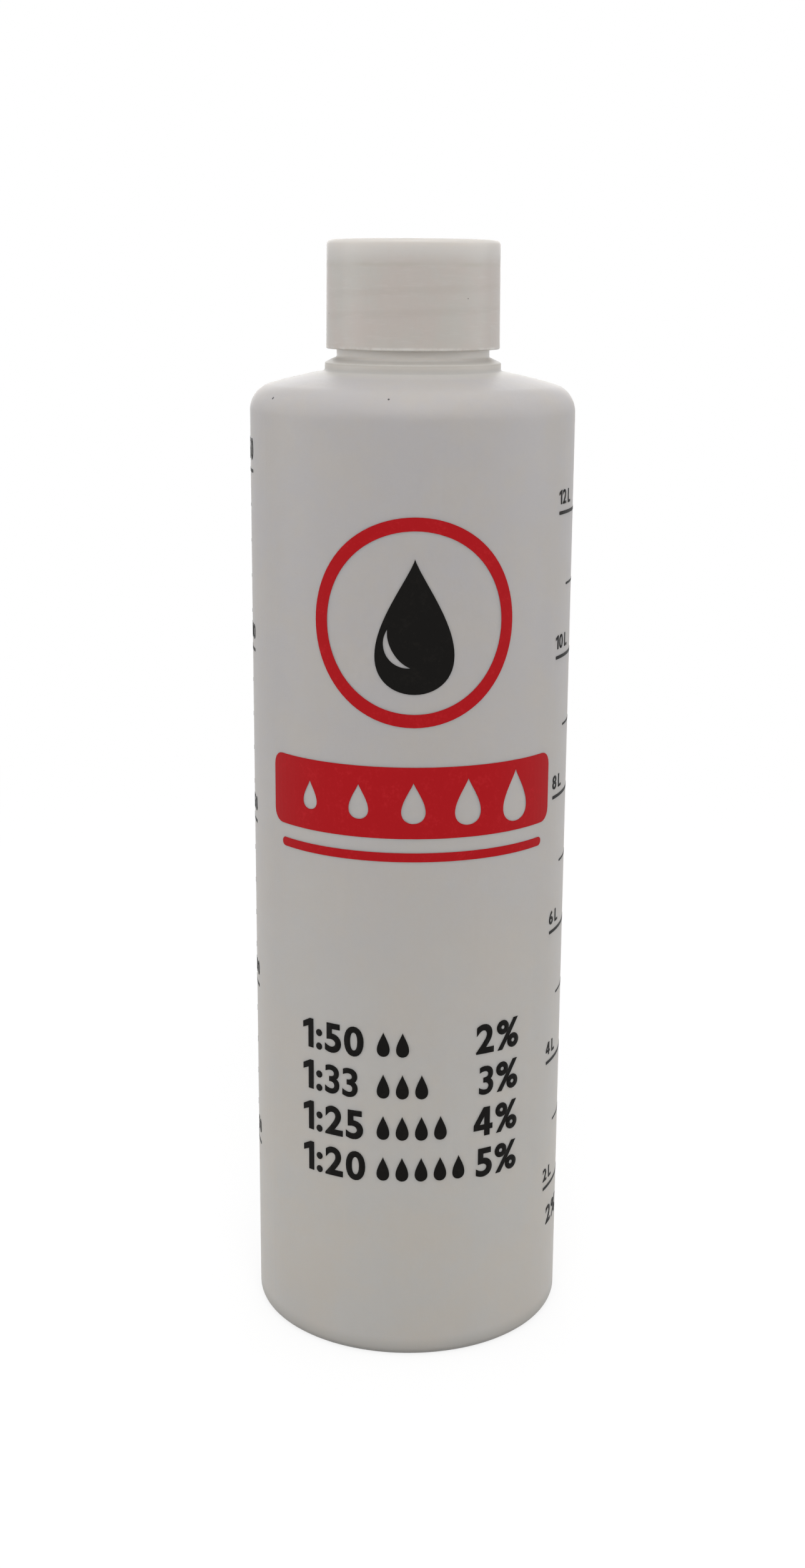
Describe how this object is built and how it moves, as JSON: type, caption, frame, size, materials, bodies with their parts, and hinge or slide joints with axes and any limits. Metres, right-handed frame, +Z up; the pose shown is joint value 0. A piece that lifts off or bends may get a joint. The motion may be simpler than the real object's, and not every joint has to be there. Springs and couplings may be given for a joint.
{
  "type": "oil measuring bottle",
  "caption": "Slim round translucent plastic bottle with a rounded shoulder, a stepped collar, a threaded neck and a smooth screw cap, for measuring two-stroke oil.",
  "frame": {"origin": "centre of the base, on the surface that the bottle stands on", "axes": "+Z up along the bottle's axis, -Y towards the side with the main print, +X towards the fuel mix scale"},
  "size_m": [0.05, 0.05, 0.173],
  "materials": {
    "bottle_plastic": "natural polyethylene, milky and translucent, with a soft sheen",
    "cap_plastic": "natural polyethylene, milky and translucent, a little warmer than the bottle",
    "liner_foam": "white closed-cell polyethylene foam"
  },
  "bodies": {
    "bottle_body": {"bottle": "bottle_plastic"},
    "liner_body": {"cap_liner": "liner_foam"},
    "cap_body": {"screw_cap": "cap_plastic"}
  },
  "joints": [
    {"name": "cap_lift", "type": "slide", "parent": "bottle_body", "child": "liner_body", "axis": [0, 0, 1], "range_m": [0, 0.01349]},
    {"name": "cap_turn", "type": "hinge", "parent": "liner_body", "child": "cap_body", "pos_m": [0, 0, 0.165], "axis": [0, 0, 1], "range_deg": [0, 1530]}
  ],
  "couplings": [
    {"joint": "cap_lift", "follows": "cap_turn", "m_per_rad": 0.00050532}
  ]
}
